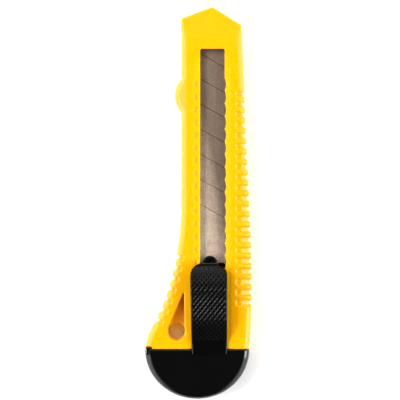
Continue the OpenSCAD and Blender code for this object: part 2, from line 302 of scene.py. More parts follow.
# %% Rows of notches, dimples and scoops
SLOT_X = 4.95
SLOT_END = 119.35
OPEN_END = -20.0  # the slot and the pad's band run on past the cap joint, to here
NOTCH_PITCH = 5.05
NOTCH_DEPTH = 0.55
NOTCHES = 15  # the ones that the slider can click into
NOTCHES_BELOW = 6  # the ones nearer the cap, which the spring never reaches
FIRST_NOTCH = 34.45
NOTCH_R = ((NOTCH_PITCH / 2) ** 2 + NOTCH_DEPTH ** 2) / (2 * NOTCH_DEPTH)
LAST_NOTCH = FIRST_NOTCH + (NOTCHES - 1) * NOTCH_PITCH
DIMPLE_X, DIMPLE_R, DIMPLE_RISE = -5.9, 4.15, 3.6  # a dimple's ball: place, radius, middle above the face
TOOTH_PITCH = 4.15
SCOOP_R = 1.05
SCOOP_IN = 1.1  # how far a scoop bites into the edge
SCOOP_X = 9.2  # inner end of the right scoops
SCOOP_HALF = 1.4  # half of a scoop's width where it runs in over the face
SCOOP_STEP = 0.4  # depth of a scoop at its inner end
SCOOP_FALL = 0.08  # slope of its floor
SCOOP_SHELF, SCOOP_TURN = 2.3, 0.5  # where the floor turns down, and how much steeper it is from there
SCOOP_DEEPEST = {"right": 2.4, "left": 1.6}


def fold(v, first, pitch, count):
    """The distance along a row, measured from its nearest member."""
    member = np.clip(np.round((v - first) / pitch), 0, count - 1)
    return v - first - member * pitch


def slot_distance(x, y):
    """The straight slot, and the row of round notches in its right edge."""
    straight = rectangle(x, y, -SLOT_X, SLOT_X, OPEN_END, SLOT_END, 0.8)
    rearmost = FIRST_NOTCH - NOTCHES_BELOW * NOTCH_PITCH
    along = fold(y, rearmost, NOTCH_PITCH, NOTCHES + NOTCHES_BELOW)
    notch = np.hypot(x - SLOT_X - NOTCH_DEPTH + NOTCH_R, along)
    notches = np.maximum(notch - NOTCH_R, -x)
    return np.minimum(straight, notches)


def dimple_distance(x, y, z):
    """Shallow half-round dimples, flat on the side of the slot."""
    along = fold(y, FIRST_NOTCH, NOTCH_PITCH, NOTCHES)
    ball = np.sqrt((x - DIMPLE_X) ** 2 + along ** 2 + (z - BODY_T - DIMPLE_RISE) ** 2)
    return both(ball - DIMPLE_R, x - DIMPLE_X, 0.15)


belly_x, belly_y = bezier(BELLY, np.linspace(0, 1, 200)).T


def right_edge(y):
    """Where the belly's edge is, at a place along the handle."""
    return np.interp(y, belly_y[::-1], belly_x[::-1])


RIGHT_SCOOPS = 21
FIRST_SCOOP = BELLY[0][1] - (RIGHT_SCOOPS - 0.5) * TOOTH_PITCH


def scoop_distance(inside, off, z, deepest):
    """A round-ended trench that runs off the edge of the handle.

    inside is how far a point is from the trench's inner end, and off is how far from its middle.
    """
    plan = rectangle(inside, off, 0, 30, -SCOOP_HALF, SCOOP_HALF, 1.0)
    fall = SCOOP_FALL * np.maximum(inside, 0) + SCOOP_TURN * np.maximum(inside - SCOOP_SHELF, 0)
    floor_z = BODY_T - np.minimum(SCOOP_STEP + fall, deepest)
    return both(plan, floor_z - z, 0.7)


def right_scoops(x, y, z):
    """Scoops from the face down over the right edge."""
    off = fold(y, FIRST_SCOOP, TOOTH_PITCH, RIGHT_SCOOPS)
    upright = np.hypot(x - right_edge(y) - SCOOP_R + SCOOP_IN, off) - SCOOP_R
    return join(upright, scoop_distance(x - SCOOP_X, off, z, SCOOP_DEEPEST["right"]), 0.15)


flare_x, flare_y = bezier(FLARE, np.linspace(0, 1, 400)).T
LEFT_SCOOPS = [36.5 - TOOTH_PITCH * i for i in range(7)]
LEFT_REACH = 3.2  # how far the left scoops run in over the face


def left_scoops(x, y, z):
    """The same scoops, square to the curve of the flare."""
    scoops = np.inf
    for at in LEFT_SCOOPS:
        i = int(np.argmin(np.abs(flare_y - at)))
        along = np.array([flare_x[i + 1] - flare_x[i - 1], flare_y[i + 1] - flare_y[i - 1]])
        along /= np.hypot(*along)
        inward = np.array([-along[1], along[0]])
        px, py = np.array([flare_x[i], flare_y[i]]) - inward * (SCOOP_R - SCOOP_IN)
        upright = np.hypot(x - px, y - py) - SCOOP_R
        inside = LEFT_REACH - (x - px) * inward[0] - (y - py) * inward[1]
        off = (x - px) * along[0] + (y - py) * along[1]
        scoop = join(upright, scoop_distance(inside, off, z, SCOOP_DEEPEST["left"]), 0.15)
        scoops = np.minimum(scoops, scoop)
    return scoops


print("last notch at", round(LAST_NOTCH, 2), "mm; first scoop at", round(FIRST_SCOOP, 2), "mm")

# %% [markdown]
# ## The handle
#
# The outline is given its thickness, its long rounded edges and the slope that thins the nose. Then
# the cuts come, each with the radius that its edge has: the shallow band for the thumb pad, the slot,
# the blade channel that runs right through, the groove that the carrier slides in, the scoops, the
# tear-shaped pocket and the lanyard hole in its floor.

# %% The handle's measures
EDGE_R = 2.6
BACK_R = 0.6
NOSE_T = 7.8
NOSE_SLOPE_Y = 121.0  # the face falls from here to the tip of the nose
NOSE_FALL = (BODY_T - NOSE_T) / (handle_high[1] - NOSE_SLOPE_Y)
BAND_END = 117.0
BAND = (-8.2, 8.0, OPEN_END, BAND_END)  # the sides and ends of the thumb pad's band
BAND_DEPTH = 0.3
BAND_RUN = 6.0  # over this length the band gets shallower towards its front end
BAND_SIDE = 2.0  # how wide the band's soft sides are
SLOT_DRAFT = 0.09  # the slot narrows by this much for each mm of depth
LUG_X, LUG_Y, LUG_H = (-26.6, -24.2), (-2.4, 0.7), 2.4  # the cap's lug
LUG_GAP = 0.2  # what its recess in the handle is wider and deeper by
GROOVE_Z, CHANNEL_Z, LIP_Z = 2.6, 6.0, 7.0  # floors of the groove and the channel, and the lips over them
GROOVE_HALF, CHANNEL_HALF = 7.6, 9.3
GROOVE_END = carrier_high[1] + (LAST_NOTCH - FIRST_NOTCH) + 0.4
LANYARD, LANYARD_R = (-14.2, 6.9), 3.15
POCKET_R, POCKET_TIP, POCKET_FLOOR = 3.6, (-11.3, 22.6), 3.5
POCKET_LEFT = (LANYARD[0] - POCKET_R * 0.94, LANYARD[1] + POCKET_R * 0.34)
POCKET_RIGHT = (LANYARD[0] + 3.3, LANYARD[1] - 2.0)
print("the groove ends at", round(GROOVE_END, 2), "mm and the slot at", SLOT_END, "mm")

# %% The handle's distance


def blank_distance(x, y, z):
    """The handle before anything is cut into it, with its rounded edges and thin nose."""
    outline = outline_distance(x, y, handle_outline)
    stop = np.hypot(x - (LEFT_X - STOP_H + STOP_R), y - STOP_Y) - STOP_R
    outline = join(outline, stop, 0.5)
    body = both(outline, z - BODY_T, EDGE_R)
    body = both(body, -z, BACK_R)
    nose_face = (z - BODY_T + (y - NOSE_SLOPE_Y) * NOSE_FALL) / math.hypot(1, NOSE_FALL)
    body = both(body, nose_face, 0.45)
    return both(body, -y, 0.12)


def pocket_distance(x, y):
    """A round end and a straight-sided point, as a tear."""
    round_end = np.hypot(x - LANYARD[0], y - LANYARD[1]) - POCKET_R
    point = outline_distance(x, y, [POCKET_TIP, POCKET_LEFT, POCKET_RIGHT])
    return join(round_end, point, 0.6)


def handle_distance(x, y, z):
    """The blank with everything that is cut into it."""
    body = blank_distance(x, y, z)
    in_band = smooth(-rectangle(x, y, *BAND) / BAND_SIDE) * smooth((BAND_END - y) / BAND_RUN)
    body = both(body, z - BODY_T + BAND_DEPTH * in_band, 0.1)
    body = cut(body, dimple_distance(x, y, z), 0.2)

    slot = slot_distance(x, y) + SLOT_DRAFT * (BODY_T - z)
    body = cut(body, both(slot, LIP_Z - 0.5 - z, 0.1), 0.1)
    channel = both(between(x, -CHANNEL_HALF, CHANNEL_HALF), between(z, CHANNEL_Z, LIP_Z), 0.15)
    groove = both(between(x, -GROOVE_HALF, GROOVE_HALF), between(z, GROOVE_Z, LIP_Z - 0.2), 0.3)
    body = cut(body, channel, 0.2)
    body = cut(body, both(groove, y - GROOVE_END, 0.3), 0.2)

    body = cut(body, right_scoops(x, y, z), 0.3)
    body = cut(body, left_scoops(x, y, z), 0.2)
    pocket = both(pocket_distance(x, y), POCKET_FLOOR - z, 0.8)
    body = cut(body, pocket, 0.35)
    recess = both(x - LUG_X[1] - LUG_GAP, y - LUG_Y[1] - LUG_GAP, 0.2)
    body = cut(body, both(recess, BODY_T - LUG_H - LUG_GAP - z, 0.1), 0.1)
    hole = np.hypot(x - LANYARD[0], y - LANYARD[1]) - LANYARD_R
    return cut(body, hole, 0.25)


# %% The handle as a piece
handle_mesh, handle_points = moulding("handle", handle_distance, handle_low, handle_high, 0.36)
handle = new_piece("handle_moulding", handle_mesh, "handle", "yellow_plastic", "handle_body")

# %% [markdown]
# ## The end cap
#
# The cap is half an ellipse with a full, soft edge. Two prongs and a tongue reach into the handle and
# show when the cap is pulled off, and a thin slit in the round end is for snapping off a segment.

# %% The cap's measures
CAP_X = (cap_low[0] + cap_high[0]) / 2
CAP_GAP = 0.3
CAP_HALF = ((cap_high[0] - cap_low[0]) / 2, -cap_low[1] - CAP_GAP)
cap_outline = [
    (CAP_X + CAP_HALF[0] * math.cos(a), -CAP_GAP + CAP_HALF[1] * math.sin(a))
    for a in np.linspace(math.pi, 2 * math.pi, 61)
]
cap_outline += [(CAP_X + CAP_HALF[0], TAIL), (CAP_X - CAP_HALF[0], TAIL)]
HOLLOWS = (-19.0, -4.2)  # left sides of the two hollows in the joint's face
HOLLOW_W, HOLLOW_Y, HOLLOW_Z = 13.2, (-9.0, 3.0), (2.4, 7.6)
SLIT_X, SLIT_Y, SLIT_Z = (-15.8, 3.7), (-30.0, cap_low[1] + 6.0), (4.5, 5.6)
PRONG_Y, PRONG_Z = -3.0, (3.2, 6.8)  # where the prongs start, and their underside and top
PRONGS = [(-20.4, 2.5, 7.6), (11.9, 2.2, 11.0)]  # centre, width and length
TONGUE_HALF, TONGUE_Y, TONGUE_Z = 7.2, (-9.5, 3.5), (GROOVE_Z + 0.2, GROOVE_Z + 3.2)
LUG_DROP = 0.3  # the lug's top is this far below the face
print("cap", round(2 * CAP_HALF[0], 2), "mm wide and", round(CAP_HALF[1], 2), "mm long")

# %% The cap's distance


def block(x, y, z, sides, ends, levels, radius):
    """A box with rounded edges. sides, ends and levels are its limits in x, y and z."""
    return both(rectangle(x, y, *sides, *ends, radius), between(z, *levels), radius)


def cap_distance(x, y, z):
    """The half ellipse with its hollows and slit, and with the prongs, tongue and lug added."""
    body = both(outline_distance(x, y, cap_outline), z - BODY_T, EDGE_R)
    body = both(body, -z, 1.0)
    body = both(body, y + CAP_GAP, 0.25)
    for side in HOLLOWS:
        body = cut(body, block(x, y, z, (side, side + HOLLOW_W), HOLLOW_Y, HOLLOW_Z, 0.5), 0.2)
    body = cut(body, block(x, y, z, SLIT_X, SLIT_Y, SLIT_Z, 0.1), 0.15)
    for middle, width, length in PRONGS:
        sides = (middle - width / 2, middle + width / 2)
        body = join(body, block(x, y, z, sides, (PRONG_Y, length), PRONG_Z, 0.4), 0.2)
    body = join(body, block(x, y, z, (-TONGUE_HALF, TONGUE_HALF), TONGUE_Y, TONGUE_Z, 0.3), 0.15)
    lug = block(x, y, z, LUG_X, LUG_Y, (BODY_T - LUG_H, BODY_T - LUG_DROP), 0.25)
    return join(body, lug, 0.3)


# %% The cap as a piece
cap_mesh, _ = moulding("cap", cap_distance, cap_low, cap_high, 0.36)
cap = new_piece("end_cap_moulding", cap_mesh, "cap", "black_gloss_plastic", "end_cap")

# %% [markdown]
# ## The thumb pad
#
# The pad is a hump with a long ramp in front, a shallow saddle for the thumb and a steeper heel that
# runs out into a thin tail. Its knurl is two sets of crossing grooves. The grooves are measured along
# the curve of the top, not across the plan, so the diamonds shorten where the top is steep. The
# grooves of one set have a gentle wall, wide enough to catch the light as a grey stroke. All the
# other walls are steep and stay dark.

# %% The thumb pad's top and outline
PAD_LEFT, PAD_REAR, PAD_FLOOR = pad_low
PAD_RIGHT, PAD_FRONT = pad_high[:2]
PAD_SIDE = [  # the top of the pad from tail to front: place and height above the floor
    (-3.0, 0.9), (2.6, 0.9), (4.2, 1.5), (10.0, 5.4), (11.6, 5.8), (14.0, 5.72), (17.6, 5.68),
    (21.5, 5.75), (24.0, 6.0), (26.0, 5.85), (30.0, 4.6), (32.8, 3.5), (34.4, 2.2),
]
FRONT_R = {"left": 5.0, "right": 3.0}  # radius of each front corner
REAR_R, REAR_IN = 0.8, 0.6  # radius of the rear corners, and how far the left one is set in
STEP_X, STEP_BACK = 2.2, 1.4  # the right part of the front is set back by this step

side_y = np.linspace(PAD_SIDE[0][0], PAD_SIDE[-1][0], 400)
side_z = np.interp(side_y, *np.array(PAD_SIDE).T)
soften = np.hanning(41) / np.hanning(41).sum()
side_z = np.convolve(np.pad(side_z, 20, mode="edge"), soften, "valid")
side_run = np.concatenate([[0], np.cumsum(np.hypot(np.diff(side_y), np.diff(side_z)))])


def arc(cx, cy, radius, start, end, count=9):
    """Points on a part of a circle, from one angle to another in degrees."""
    turn = np.radians(np.linspace(start, end, count))
    return [(cx + radius * math.cos(a), cy + radius * math.sin(a)) for a in turn]


pad_outline = (
    arc(PAD_RIGHT - FRONT_R["right"], PAD_FRONT - STEP_BACK - FRONT_R["right"], FRONT_R["right"], 0, 90)
    + [(STEP_X, PAD_FRONT - STEP_BACK), (STEP_X, PAD_FRONT)]
    + arc(PAD_LEFT + FRONT_R["left"], PAD_FRONT - FRONT_R["left"], FRONT_R["left"], 90, 180)
    + arc(PAD_LEFT + REAR_IN + REAR_R, PAD_REAR + REAR_R, REAR_R, 180, 270, 5)
    + arc(PAD_RIGHT - REAR_R, PAD_REAR + REAR_R, REAR_R, 270, 360, 5)
)
print("the pad's top is", round(side_run[-1], 1), "mm long, measured along its curve")

# %% The thumb pad's distance
DIAMOND_W, DIAMOND_L = 1.9, 2.3
KNURL_DEPTH = 0.16
GENTLE, STEEP = 0.25, 0.09  # width of a gentle and of a steep groove wall, as shares of the pitch
KNURL_Y = (2.8, PAD_FRONT - 1.3)  # the knurl fades in from the first place and is gone at the second
KNURL_MARGIN = 0.35


def groove(t, wall):
    """1 at the bottom of each groove of a set, one to each unit of t, and 0 on the flats between.

    wall is the width of the groove's first wall. Its second wall is always steep.
    """
    t = t - np.floor(t)
    return 1 - np.minimum(np.minimum(t / wall, (1 - t) / STEEP), 1)


def pad_distance(x, y, z):
    """The outline under the curved top, with the knurl pressed into it."""
    outline = outline_distance(x, y, pad_outline)
    run = np.interp(y, side_y, side_run)
    across, along = (x - (PAD_LEFT + PAD_RIGHT) / 2) / DIAMOND_W, run / DIAMOND_L
    knurl = np.maximum(groove(across - along, GENTLE), groove(across + along, STEEP))
    border = smooth((-outline - KNURL_MARGIN) / 0.6) * smooth(y - KNURL_Y[0]) * smooth(KNURL_Y[1] - y)
    top = PAD_FLOOR + np.interp(y, side_y, side_z) - KNURL_DEPTH * border * knurl
    slope = np.interp(y, side_y, np.gradient(side_z, side_y))
    body = both(outline, (z - top) / np.hypot(1, slope), 0.7)
    return both(body, PAD_FLOOR - z, 0.15)


# %% The thumb pad as a piece
pad_mesh, _ = moulding("thumb_pad", pad_distance, pad_low, pad_high, 0.12)
pad = new_piece("thumb_pad_moulding", pad_mesh, "slider", "black_plastic", "thumb_pad")

# %% [markdown]
# ## The blade carrier and its spring
#
# The carrier is a plate behind the blade with a neck that comes up through the slot. Its round peg
# passes through the blade's hole and shows in front of the pad, with a dished end. The spring is a
# thin arm beside the neck, whose rounded end sits in a notch.

# %% The carrier's distance
blade_bottom, blade_top = blade_low[2], blade_high[2]
PEG, PEG_R, PEG_TOP = (-0.95, 34.15), 2.75, BODY_T - 0.55
DISH_R, DISH_DEPTH = 1.7, 0.45
PLATE_Y = (5.5, carrier_high[1])
NECK_HALF, NECK_W, NECK_Y = 4.6, 6.3, (3.0, PAD_FRONT - 0.2)
ROOT_END = 29.0  # the root fills the blade's own layer up to here, just behind the blade
SINK = 0.5  # how far a part reaches down into the one below, so that the two are one moulding


def carrier_distance(x, y, z):
    """The plate, the root and foot behind the blade, the neck under the pad, and the dished peg."""
    across, left_part = (-NECK_HALF, NECK_HALF), (-NECK_HALF, -NECK_HALF + NECK_W)
    body = block(x, y, z, (carrier_low[0], carrier_high[0]), PLATE_Y, (carrier_low[2], blade_bottom), 0.3)
    root = block(x, y, z, across, (NECK_Y[0], ROOT_END), (blade_bottom - SINK, blade_top), 0.15)
    foot = block(x, y, z, across, (NECK_Y[0], spring_low[1]), (blade_top - 0.4, PAD_FLOOR), 0.2)
    neck = block(x, y, z, left_part, NECK_Y, (blade_top, PAD_FLOOR), 0.3)
    out = np.hypot(x - PEG[0], y - PEG[1])
    dish = DISH_DEPTH * smooth(1 - out / DISH_R)
    peg = both(out - PEG_R, z - PEG_TOP + dish, 0.55)
    peg = both(peg, blade_bottom - SINK - z, 0.1)
    for part in (root, foot, neck, peg):
        body = join(body, part, 0.1)
    return body


print("the peg's end is", round(BODY_T - PEG_TOP, 2), "mm below the face")

# %% The spring's distance
ARM_X = (2.55, 4.05)
SPRING_TOOTH_R = 1.1
tooth_x, tooth_y = spring_high[:2] - SPRING_TOOTH_R


def spring_distance(x, y, z):
    """A thin arm with a round-nosed tooth at its end."""
    arm = rectangle(x, y, *ARM_X, spring_low[1], tooth_y + 0.6, 0.1)
    tooth = np.hypot(x - tooth_x, y - tooth_y) - SPRING_TOOTH_R
    foot_ends = (tooth_y - SPRING_TOOTH_R, tooth_y + SPRING_TOOTH_R)
    foot = rectangle(x, y, ARM_X[0] - 0.2, tooth_x, *foot_ends, 0.1)
    plan = join(np.minimum(arm, foot), tooth, 0.1)
    return both(plan, between(z, spring_low[2], spring_high[2]), 0.2)


print("the spring's tooth is at", round(tooth_y, 2), "mm, and the first notch at", FIRST_NOTCH, "mm")

# %% The carrier and the spring as pieces
carrier_mesh, _ = moulding("carrier", carrier_distance, carrier_low, carrier_high, 0.25)
carrier = new_piece("blade_carrier_moulding", carrier_mesh, "slider", "black_plastic", "blade_carrier")
spring_mesh, _ = moulding("spring", spring_distance, spring_low, spring_high, 0.15)
spring = new_piece("detent_spring_arm", spring_mesh, "slider", "black_plastic", "detent_spring")

# %% [markdown]
# ## The blade
#
# The blade is one strip of steel, scored so that its tip can be broken off when it is blunt. Each
# segment is a slanted plate. Its two slanted edges are pressed down to form half of a V-shaped
# score, and its left edge is ground to the cutting edge from both faces. A small grid of vertices
# for the front and the same grid for the back, joined by walls, is all that this needs.

# %% Blade segments
SEGMENTS = 8
SEGMENT_L = 10.0
SCORE_W, SCORE_DEPTH = 0.16, 0.12
GRIND_W = 1.6
BACK_W = 0.05  # a narrow bevel along the back of the blade
HALF_T = (0.04, 0.25, 0.25, 0.2)  # half the thickness at each column, from the cutting edge to the back
EDGE_T = 0.03  # no place on the blade is thinner than twice this
half_w = blade_high[0]
slant = (blade_high[1] - blade_low[1] - SEGMENT_L) / (2 * half_w)


def segment_mesh(name, high_y, length, last):
    """A slanted plate of four columns and four rows of vertices on each face.

    high_y is its front corner on the cutting edge. The last segment's rear end is square and has no score.
    """
    columns = [-half_w, -half_w + GRIND_W, half_w - BACK_W, half_w]
    rows = [0.0, SCORE_W, length - SCORE_W, length]
    middle = (blade_bottom + blade_top) / 2
    vertices = []
    for side in (1, -1):
        for x, half_t in zip(columns, HALF_T):
            for row, down in enumerate(rows):
                pressed = SCORE_DEPTH if row == 0 or (row == 3 and not last) else 0.0
                z = middle + side * max(half_t - pressed, EDGE_T)
                straight = last and row >= 2
                y = high_y - down - (0 if straight else slant * (x + half_w))
                vertices.append((x * MM, y * MM, z * MM))
    faces = []
    for side, turn in ((0, 1), (16, -1)):
        for column in range(3):
            for row in range(3):
                a = side + column * 4 + row
                faces.append([a, a + 1, a + 5, a + 4][::turn])
    rim = [0, 4, 8, 12, 13, 14, 15, 11, 7, 3, 2, 1]  # the outer vertices of the front face, in turn
    for a, b in zip(rim, rim[1:] + rim[:1]):
        faces.append([a, b, b + 16, a + 16])
    mesh = bpy.data.meshes.new(name)
    mesh.from_pydata(vertices, [], faces)
    tidy = bmesh.new()
    tidy.from_mesh(mesh)
    bmesh.ops.recalc_face_normals(tidy, faces=tidy.faces)
    tidy.to_mesh(mesh)
    tidy.free()
    scored = [float(i % 4 == 0 or (i % 4 == 3 and not last)) for i in range(32)]
    mesh.attributes.new("scored", "FLOAT", "POINT").data.foreach_set("value", scored)
    return mesh


segments = []
for index in range(SEGMENTS):
    node = f"blade_segment_{index + 1}"
    low, high = box_mm(node)
    last = index == SEGMENTS - 1
    length = high[1] - low[1] - (0 if last else slant * 2 * half_w)
    mesh = segment_mesh(f"segment_{index + 1}", high[1], length, last)
    segments.append(new_piece(f"segment_{index + 1}", mesh, "slider", "blade_steel", node))
print("slant", round(math.degrees(math.atan(slant)), 1), "degrees")

# %% The hole in the last segment
HOLE_GAP = 0.1
tail_segment = segments[-1]
bpy.ops.mesh.primitive_cylinder_add(
    vertices=64,
    radius=(PEG_R + HOLE_GAP) * MM,
    depth=4 * MM,
    location=(PEG[0] * MM, PEG[1] * MM, blade_top * MM),
)
punch = bpy.context.object
hole = tail_segment.modifiers.new("hole", "BOOLEAN")
hole.object = punch
hole.operation = "DIFFERENCE"
bpy.context.view_layer.objects.active = tail_segment
with bpy.context.temp_override(
    object=tail_segment, active_object=tail_segment, selected_objects=[tail_segment]
):
    bpy.ops.object.modifier_apply(modifier="hole")
bpy.data.objects.remove(punch)
print("tail segment", len(tail_segment.data.polygons), "faces")

# %% [markdown]
# ## Effects that several materials share
#
# Every plastic here comes from a mould, so all of them have the same faint life: a slow drift in
# the colour where the melt flowed, a fine grain that breaks up reflections, and smudges where the
# shine is lower. All three are worked out once in a node group, and each material gives it its own
# scales. A second group finds the edges, where handling rubs plastic first.

# %% Helpers for node trees


def put(tree, kind, place, inputs=None, **settings):
    """Adds a node at a place, in grid squares, with some of its sockets and settings filled in."""
    made = tree.nodes.new(kind)
    made.location = (place[0] * 200, place[1] * -200)
    for name, value in settings.items():
        setattr(made, name, value)
    for name, value in (inputs or {}).items():
        made.inputs[name].default_value = value
    return made


def new_group(name, inputs, outputs):
    """A shader node group with named sockets. Each socket is a name, a type and a start value."""
    group = bpy.data.node_groups.new(name, "ShaderNodeTree")
    for direction, sockets in (("INPUT", inputs), ("OUTPUT", outputs)):
        for label, kind, *start in sockets:
            socket = group.interface.new_socket(label, in_out=direction, socket_type="NodeSocket" + kind)
            if start:
                socket.default_value = start[0]
    return group, put(group, "NodeGroupInput", (0, 0)), put(group, "NodeGroupOutput", (6, 0))


# %% Node group: moulded skin
skin_group, group_in, group_out = new_group(
    "moulded_skin",
    [("Vector", "Vector"), ("Flow Scale", "Float", 40.0), ("Grain Scale", "Float", 4000.0)],
    [("Flow", "Float"), ("Grain", "Float"), ("Smudge", "Float")],
)
flow = put(skin_group, "ShaderNodeTexNoise", (2, 0), {"Detail": 2.0, "Distortion": 0.6})
grain = put(skin_group, "ShaderNodeTexNoise", (2, 1.5), {"Detail": 3.0, "Roughness": 0.6})
smudge_look = {"Detail": 5.0, "Roughness": 0.7, "Distortion": 1.2}
smudge = put(skin_group, "ShaderNodeTexNoise", (2, 3), smudge_look)
wider = put(skin_group, "ShaderNodeMath", (1, 3), {1: 3.5}, operation="MULTIPLY")
soft = put(skin_group, "ShaderNodeMapRange", (4, 3), {"From Min": 0.45, "From Max": 0.75})
for made in (flow, grain, smudge):
    skin_group.links.new(group_in.outputs["Vector"], made.inputs["Vector"])
skin_group.links.new(group_in.outputs["Flow Scale"], flow.inputs["Scale"])
skin_group.links.new(group_in.outputs["Flow Scale"], wider.inputs[0])
skin_group.links.new(wider.outputs[0], smudge.inputs["Scale"])
skin_group.links.new(group_in.outputs["Grain Scale"], grain.inputs["Scale"])
skin_group.links.new(smudge.outputs["Fac"], soft.inputs["Value"])
skin_group.links.new(flow.outputs["Fac"], group_out.inputs["Flow"])
skin_group.links.new(grain.outputs["Fac"], group_out.inputs["Grain"])
skin_group.links.new(soft.outputs["Result"], group_out.inputs["Smudge"])
print("group", skin_group.name, [socket.name for socket in skin_group.interface.items_tree])

# %% Node group: rubbed edges
edge_group, group_in, group_out = new_group(
    "rubbed_edges",
    [
        ("Vector", "Vector"),
        ("Sharpness", "Float", 0.53),
        ("Softness", "Float", 0.08),
        ("Patch Scale", "Float", 300.0),
    ],
    [("Mask", "Float")],
)
shape = put(edge_group, "ShaderNodeNewGeometry", (0, 1.5))
limit = put(edge_group, "ShaderNodeMath", (2, 1), operation="ADD")
ramp = put(edge_group, "ShaderNodeMapRange", (3, 0.5))
patches = put(edge_group, "ShaderNodeTexNoise", (2, 2.5), {"Detail": 4.0, "Roughness": 0.65})
patch_range = {"From Min": 0.35, "From Max": 0.65, "To Min": 0.35}
broken = put(edge_group, "ShaderNodeMapRange", (3, 2.5), patch_range)
mixed = put(edge_group, "ShaderNodeMath", (5, 1), operation="MULTIPLY")
edge_group.links.new(group_in.outputs["Sharpness"], limit.inputs[0])
edge_group.links.new(group_in.outputs["Softness"], limit.inputs[1])
edge_group.links.new(shape.outputs["Pointiness"], ramp.inputs["Value"])
edge_group.links.new(group_in.outputs["Sharpness"], ramp.inputs["From Min"])
edge_group.links.new(limit.outputs[0], ramp.inputs["From Max"])
edge_group.links.new(group_in.outputs["Vector"], patches.inputs["Vector"])
edge_group.links.new(group_in.outputs["Patch Scale"], patches.inputs["Scale"])
edge_group.links.new(patches.outputs["Fac"], broken.inputs["Value"])
edge_group.links.new(ramp.outputs["Result"], mixed.inputs[0])
edge_group.links.new(broken.outputs["Result"], mixed.inputs[1])
edge_group.links.new(mixed.outputs[0], group_out.inputs["Mask"])
print("group", edge_group.name, [socket.name for socket in edge_group.interface.items_tree])

# %% [markdown]
# ## Yellow plastic
#
# The yellow is strong but a little translucent: thin edges look paler, and light that has bounced
# inside a hollow comes out orange. A little subsurface scattering gives some of both. The rest
# depends on the shape and is painted into the colour, so the mesh carries four values for the
# material to turn its colour by. The glow value is how far a point lies below the front face, inside
# the outline; it paints a lighter orange glow into the hollows. thin grows towards the outer edge and
# paints it paler, a painted highlight for light that shines through and off the edge. wall paints
# shade on the steep walls of the slot, the dimples and the ends of the scoops. band is the shallow
# band that the pad slides over, a little lighter than the rest.

# %% How deep, how thin and how shaded each point of the handle is
GLOW_DEPTH, GLOW_MARGIN = 4.5, 3.2  # painted orange glow from this deep, and from this far inside the outline
SLOT_ZONE = 5.8  # half the width that holds the slot with its notches
DIMPLE_ZONE, DIMPLES_END = (-7.8, -5.8), 110.0
SCOOP_END_ZONE = (8.6, 12.2)  # holds the inner ends of the right scoops, which get painted shade
NOSE_RIM_END = 128.5  # the painted pale rim highlight fades out before the tip of the nose

px, py, pz = handle_points.T
outline_depth = -outline_distance(px, py, handle_outline)
below_face = BODY_T - BAND_DEPTH - NOSE_FALL * np.maximum(py - NOSE_SLOPE_Y, 0) - pz
front = smooth(pz / 0.2 - 0.2)
# painted glow: a lighter orange deep in the hollows, standing in for light bounced inside them
painted_glow = smooth(below_face / GLOW_DEPTH) * smooth(outline_depth - GLOW_MARGIN) * front
band = smooth((-rectangle(px, py, *BAND) - 0.5) / 1.2)

in_slot = (np.abs(px) < SLOT_ZONE) & (py < SLOT_END + 0.4)
in_dimple = (px > DIMPLE_ZONE[0]) & (px < DIMPLE_ZONE[1]) & (below_face < 1) & (py < DIMPLES_END)
dimple = smooth((below_face - 0.03) / 0.1) * in_dimple
scoop_end = smooth(below_face / 0.3) * smooth((SCOOP_END_ZONE[1] - px) / 0.8) * (px > SCOOP_END_ZONE[0])
scoop_end = scoop_end * smooth(BELLY[0][1] + 1 - py)
# wall: painted shade on the slot's walls, in the dimples and at the inner ends of the right scoops
wall = in_slot * smooth(below_face / 0.9) * front + 0.3 * dimple + 0.16 * front * scoop_end

# thin: a painted pale rim highlight along the outer edge, for light through and off it, and paler again in
# the gaps between the right teeth
rim = smooth((EDGE_R - outline_depth) / 1.5) * smooth((NOSE_RIM_END - py) / 5)
in_gap = smooth((SCOOP_R + 0.15 - np.abs(fold(py, FIRST_SCOOP, TOOTH_PITCH, RIGHT_SCOOPS))) / 0.4)
rim_in_gap = smooth(EDGE_R - outline_depth) * in_gap
toothed = (px > 8) & (py < BELLY[0][1]) & (py > FIRST_SCOOP - TOOTH_PITCH / 2)
thin = np.where(toothed, np.maximum(0.25 * rim, 0.6 * rim_in_gap), rim)

for name, value in (("painted_glow", painted_glow), ("thin", thin), ("wall", wall), ("band", band)):
    handle_mesh.attributes.new(name, "FLOAT", "POINT").data.foreach_set("value", value.astype(np.float32))
print("hollow points", int((painted_glow > 0.5).sum()), "thin points", int((thin > 0.5).sum()))

# %% Helpers for materials


def new_material(name):
    """A material with its Principled shader and the object's own coordinates."""
    material = bpy.data.materials.new(name)
    material.use_nodes = True
    tree = material.node_tree
    shader = tree.nodes["Principled BSDF"]
    shader.location = (1600, 0)
    tree.nodes["Material Output"].location = (2000, 0)
    return material, tree, shader, put(tree, "ShaderNodeTexCoord", (0, 0)).outputs["Object"]


def place_groups(tree, coordinates, skin_values, edge_values):
    """Puts the two shared groups in a material, each with its own values."""
    skin_node = put(tree, "ShaderNodeGroup", (1, 0), skin_values, node_tree=skin_group)
    edge_node = put(tree, "ShaderNodeGroup", (1, 2), edge_values, node_tree=edge_group)
    for made in (skin_node, edge_node):
        tree.links.new(coordinates, made.inputs["Vector"])
    return skin_node, edge_node


def mesh_value(tree, place, name):
    """A value that the mesh carries."""
    return put(tree, "ShaderNodeAttribute", place, attribute_name=name).outputs["Fac"]


def mix_colour(tree, place, amount, first, second, blend="MIX"):
    """Mixes two colours. Each is a colour or another node's output."""
    made = put(tree, "ShaderNodeMix", place, data_type="RGBA", blend_type=blend)
    for socket, value in ((0, amount), (6, first), (7, second)):
        if isinstance(value, bpy.types.NodeSocket):
            tree.links.new(value, made.inputs[socket])
        else:
            made.inputs[socket].default_value = (*value, 1) if socket else value
    return made.outputs[2]


